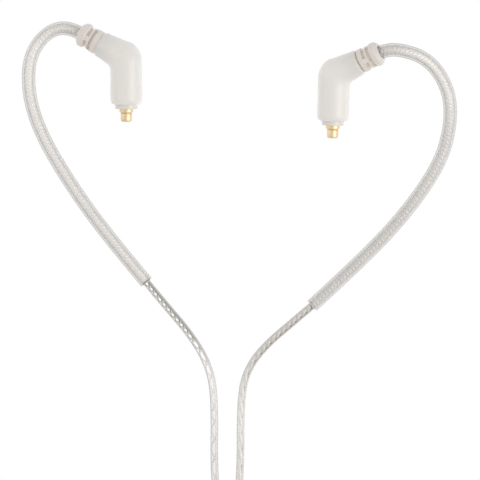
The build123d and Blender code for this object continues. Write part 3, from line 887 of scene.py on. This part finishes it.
def add_relief(name):
    """The rubber strain relief. Its outer side has its points close together, to keep the slots crisp."""
    neck_r = RELIEF_NECK_R[name]
    outline = rounded(
        [(RELIEF_START, HOOK_CABLE_R + FIT), (RELIEF_START, RELIEF_ROOT_R), (ARM_END, RELIEF_ROOT_R),
         (ARM_END, neck_r), (RELIEF_NECK_END, neck_r), (RELIEF_NECK_END, RELIEF_FLANGE_R),
         (RELIEF_FLANGE_END, RELIEF_FLANGE_R), (RELIEF_BODY_START, RELIEF_BODY_R),
         (RELIEF_BODY_END, RELIEF_BODY_R), (RELIEF_BULGE_START, RELIEF_BULGE_R),
         (RELIEF_BULGE_END, RELIEF_BULGE_R), (RELIEF_END, RELIEF_END_R), (RELIEF_END, TUBE_R + FIT),
         (TUBE_SEAT, TUBE_R + FIT), (TUBE_SEAT, HOOK_CABLE_R + FIT)],
        [0, 0.1, 0, 0, 0, 0.16, 0.1, 0.1, 0.08, 0.14, 0.5, 0.25, 0.1, 0, 0])
    spacing, segments = 0.06, 144
    dense = []
    for a, b in zip(outline, outline[1:] + outline[:1]):
        outside = a.y > SLOT_FLOOR_R and b.y > SLOT_FLOOR_R
        count = max(1, math.ceil((b - a).length / spacing)) if outside else 1
        dense += [a.lerp(b, k / count) for k in range(count)]
    cut = slotted(ELBOWS[name]["relief_turn"])
    obj = lathe(f"{name}_relief", [(p.x, p.y) for p in dense], along_axis(name, ARM), segments, cut)
    finish_piece(obj, MATERIALS["relief_rubber"], [f"{name}_strain_relief"])


def hook_line(name, step):
    """The sleeve's line, from its seat in the relief to its lower end, and its length."""
    route = [on_arm(name, TUBE_SEAT), on_arm(name, HOOK_LEAD_IN[name])] + HOOK_ROUTES[name]
    return spaced(points_of(route), step)


def cable_line(name, step):
    """The hook cable's line, from inside the arm to the sleeve's lower end, and its length."""
    in_arm, arm_length = spaced([on_arm(name, CABLE_START), on_arm(name, TUBE_SEAT)], step)
    line, length = hook_line(name, step)
    return in_arm[:-1] + line, arm_length + length


def free_twist(distance):
    """A lead's twist at a distance: tight near the sleeve, looser further down."""
    tight, looser, loosest = LEAD_TWISTS
    first, second = (smooth_step(*span, distance / MM) for span in LEAD_LOOSENS)
    pitch = tight + (looser - tight) * first
    return pitch + (loosest - pitch) * second


def turns_along(length, pitch_at, start=0.0):
    """Angle in radians against distance, for a pitch that changes along the way."""
    step = 0.1  # millimetres
    table, angle, d = [start], start, 0.0
    while d < length + MM:
        angle += 2 * math.pi * step / pitch_at(d)
        d += step * MM
        table.append(angle)
    return lambda distance: table[min(len(table) - 1, int(distance / MM / step + 0.5))]


def add_strands(name, paths, strand_r, material, replaced=(), segments=10):
    """The conductors inside a clear jacket, as one piece."""
    verts, faces, uvs = [], [], []
    for path in paths:
        more_verts, more_uvs = rings_along(path, [(i, strand_r) for i in range(len(path))], segments)
        more_faces = grid_faces(len(path), segments, False)
        faces += [tuple(v + len(verts) for v in face) for face in more_faces]
        verts += more_verts
        uvs += more_uvs
    obj = new_mesh(name, verts, faces, uvs)
    return finish_piece(obj, CONDUCTORS[material], replaced)


def twisted(line, turn_at, count, radius_at, shift_at=lambda distance: 0.0):
    """Paths of strands that wind evenly about a line."""
    return [helix(line, radius_at, turn_at, 2 * math.pi * k / count, shift_at) for k in range(count)]


def add_hook(name):
    """Clear sleeve, the cable's jacket and strands inside it, and a dark ring in the sleeve's lower end that
    paints the shade in the gap around the cable.
    Returns how far round the strands have turned where they leave it."""
    coarse, fine = 0.35 * MM, 0.085 * MM
    line, _ = hook_line(name, coarse)
    tube = sweep(f"{name}_sleeve", line, TUBE_R, TUBE_BORE_R, 40)
    finish_piece(tube, MATERIALS["clear_tube"], [f"{name}_ear_hook_tube"])
    jacket_line, _ = cable_line(name, coarse)
    jacket = sweep(f"{name}_hook_jacket", jacket_line, HOOK_CABLE_R, 0, 32)
    finish_piece(jacket, MATERIALS["hook_cable"], [f"{name}_hook_cable"])
    path, length = cable_line(name, fine)
    turn_at = turns_along(length, lambda d: TWIST_IN_TUBE)
    paths = twisted(path[:-2], turn_at, 2, lambda d: HOOK_HELIX_R)
    add_strands(f"{name}_hook_strands", paths, HOOK_STRAND_R, f"{name}_hook", [f"{name}_hook_cable"])
    # a dark ring inside the sleeve's lower end: painted shade in the gap between the cable and the bore
    (inside, outside), (inside_r, outside_r) = SHADE_RING_SPAN, SHADE_RING_BORE_R
    outline = [(inside, inside_r), (inside, TUBE_BORE_R), (outside, TUBE_BORE_R), (outside, outside_r)]
    tangent, side, up = frames(line)[-1]
    lower_end = Matrix.Translation(line[-1]) @ Matrix((side, up, tangent)).transposed().to_4x4()
    shade_ring = lathe(f"{name}_sleeve_shade_ring", outline, lower_end, 48)
    finish_piece(shade_ring, MATERIALS[f"{name}_bead"])
    return turn_at(length)


for side in ELBOWS:
    add_housing(side)
    add_plug(side)
    add_relief(side)
end_turns = {side: add_hook(side) for side in ELBOWS}


# ---------------------------------------------------------------- cords
def cord_curve(name, points, radius, material, replaced):
    """A cord's clear jacket, as a bevelled curve."""
    curve = nurbs(name, points)
    curve.data.bevel_depth = radius * MM
    curve.data.bevel_resolution = 6
    curve.data.use_fill_caps = True
    curve.data.resolution_u = 6
    curve.data.materials.append(material)
    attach(curve, BODY)
    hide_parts(*replaced)
    return curve


def lead_points(side):
    """A lead's route, its turns in the coil and its end at the Y-split."""
    strand = 0 if side == "left" else 1
    return LEAD_ROUTES[side] + wind(LEAD_COIL, strand, 2) + LEAD_TAILS[side]


def beside(line, reach, lift):
    """A path beside a line and a little above it, on the outer side of the heart the leads form."""
    return [p + (UP.cross(tangent).normalized() * reach + UP * lift) * MM
            for p, (tangent, _, _) in zip(line, frames(line))]


def lead_pair(side, line, turn_at):
    """Paths of a lead's two twisted conductors."""
    def spreading(by_sleeve, below):
        return lambda d: by_sleeve + (below - by_sleeve) * smooth_step(*PAIR_SPREADS, d / MM)

    sizes = LEAD_STRANDS[side]
    return twisted(line, turn_at, 2, spreading(*sizes["helix"]), spreading(*sizes["shift"]))


leads, lead_strands, shade_strands = {}, {}, {}
for side, sizes in LEAD_STRANDS.items():
    points = lead_points(side)
    replaced = [f"{side}_lead", f"{side}_lead_tail", "lead_coil"]
    leads[side] = cord_curve(f"{side}_lead_cord", points, LEAD_R, MATERIALS["lead_cable"], replaced)
    line, length = spaced(points_of(points), 0.2 * MM)
    inner = line[1:-1]
    turn_at = turns_along(length, free_twist, end_turns[side])
    lead_strands[side] = add_strands(
        f"{side}_lead_strands", lead_pair(side, inner, turn_at), sizes["strand_r"], side)
    # a straight dark strand beside the pair: painted shade along the lead's shaded edge
    shade_strands[side] = add_strands(
        f"{side}_lead_shade_strand", [beside(inner, *sizes["shade_strand"])], sizes["shade_strand_r"], "shade_strand")
points = MAIN_ROUTE + wind(CORD_COIL) + MAIN_TAIL
main_cord = cord_curve(
    "main_cord_jacket", points, CORD_R, MATERIALS["main_cable"], ["main_cord", "main_cord_tail", "main_coil"])
line, main_length = spaced(points_of(points), 0.45 * MM)
turn_at = turns_along(main_length, lambda d: CORD_TWIST)
paths = twisted(line[1:-1], turn_at, 3, lambda d: CORD_HELIX_R)
main_strands = add_strands("main_cord_strands", paths, CORD_STRAND_R, "main", (), 7)


# ---------------------------------------------------------------- CAD pieces that are kept
KEPT = {
    "insulator_white": ["left_plug_insulator", "right_plug_insulator"],
    "gold_plate": ["left_centre_pin", "right_centre_pin", "jack_sleeve", "jack_ring", "jack_tip"],
    "inner_mould_plastic": ["left_inner_mould", "right_inner_mould", "y_split_core", "jack_inner_mould"],
    "bare_wire": ["left_signal_wire", "left_ground_wire", "right_signal_wire", "right_ground_wire"],
    "insulator_black": ["jack_insulators"],
    "housing_plastic": ["chin_slider", "y_split_housing", "jack_housing"],
    "relief_rubber": ["y_split_relief", "jack_relief"],
    "strap": ["lead_coil_tie", "main_coil_tie"],
}
for slot, names in KEPT.items():
    for node in names:
        piece = kept[node]
        piece.data.materials.clear()
        piece.data.materials.append(MATERIALS[slot])


# ---------------------------------------------------------------- stage and light
def add_floor():
    """An evenly lit white table, on which no shadow shows."""
    half, height = 3, -0.0005
    corners = [(x * half, y * half, height) for x, y in ((-1, -1), (1, -1), (1, 1), (-1, 1))]
    mesh = bpy.data.meshes.new("floor")
    mesh.from_pydata(corners, [], [(0, 1, 2, 3)])
    floor = bpy.data.objects.new("floor", mesh)
    bpy.context.scene.collection.objects.link(floor)
    mat = bpy.data.materials.new("white_table")
    mat.use_nodes = True
    nodes, links = mat.node_tree.nodes, mat.node_tree.links
    nodes.clear()
    glow = nodes.new("ShaderNodeEmission")
    glow.inputs["Color"].default_value = (1, 1, 1, 1)
    glow.inputs["Strength"].default_value = 1.0
    out = nodes.new("ShaderNodeOutputMaterial")
    links.new(glow.outputs["Emission"], out.inputs["Surface"])
    floor.data.materials.append(mat)


def add_world():
    """An even studio, a little darker towards the horizon and towards the near side."""
    world = bpy.data.worlds.new("studio")
    bpy.context.scene.world = world
    world.use_nodes = True
    nodes, links = world.node_tree.nodes, world.node_tree.links
    coords = nodes.new("ShaderNodeTexCoord")
    height = nodes.new("ShaderNodeVectorMath")
    height.operation = "DOT_PRODUCT"
    height.inputs[1].default_value = (0.0, 0.2, 1.0)
    links.new(coords.outputs["Generated"], height.inputs[0])
    stops = [(0.0, (0.47, 0.465, 0.46)), (0.45, (0.59, 0.585, 0.58)), (0.9, (0.61, 0.61, 0.605))]
    sky = colour_ramp(nodes, links, height.outputs["Value"], stops, "LINEAR")
    links.new(sky, nodes["Background"].inputs["Color"])
    nodes["Background"].inputs["Strength"].default_value = 1.0


def add_area(name, location, size, power):
    """A rectangular lamp that looks at the set."""
    light = bpy.data.lights.new(name, "AREA")
    light.shape = "RECTANGLE"
    light.size, light.size_y = size
    light.energy = power
    obj = bpy.data.objects.new(name, light)
    obj.location = location
    obj.rotation_euler = (-Vector(location)).to_track_quat("-Z", "Y").to_euler()
    bpy.context.scene.collection.objects.link(obj)


add_camera()
add_floor()
add_world()
add_area("key", (0.49, -0.12, 0.50), (0.32, 0.5), 1.95)
add_area("fill", (-0.6, 0.2, 0.3), (0.4, 0.4), 1.0)
bpy.context.scene.view_settings.view_transform = "Standard"
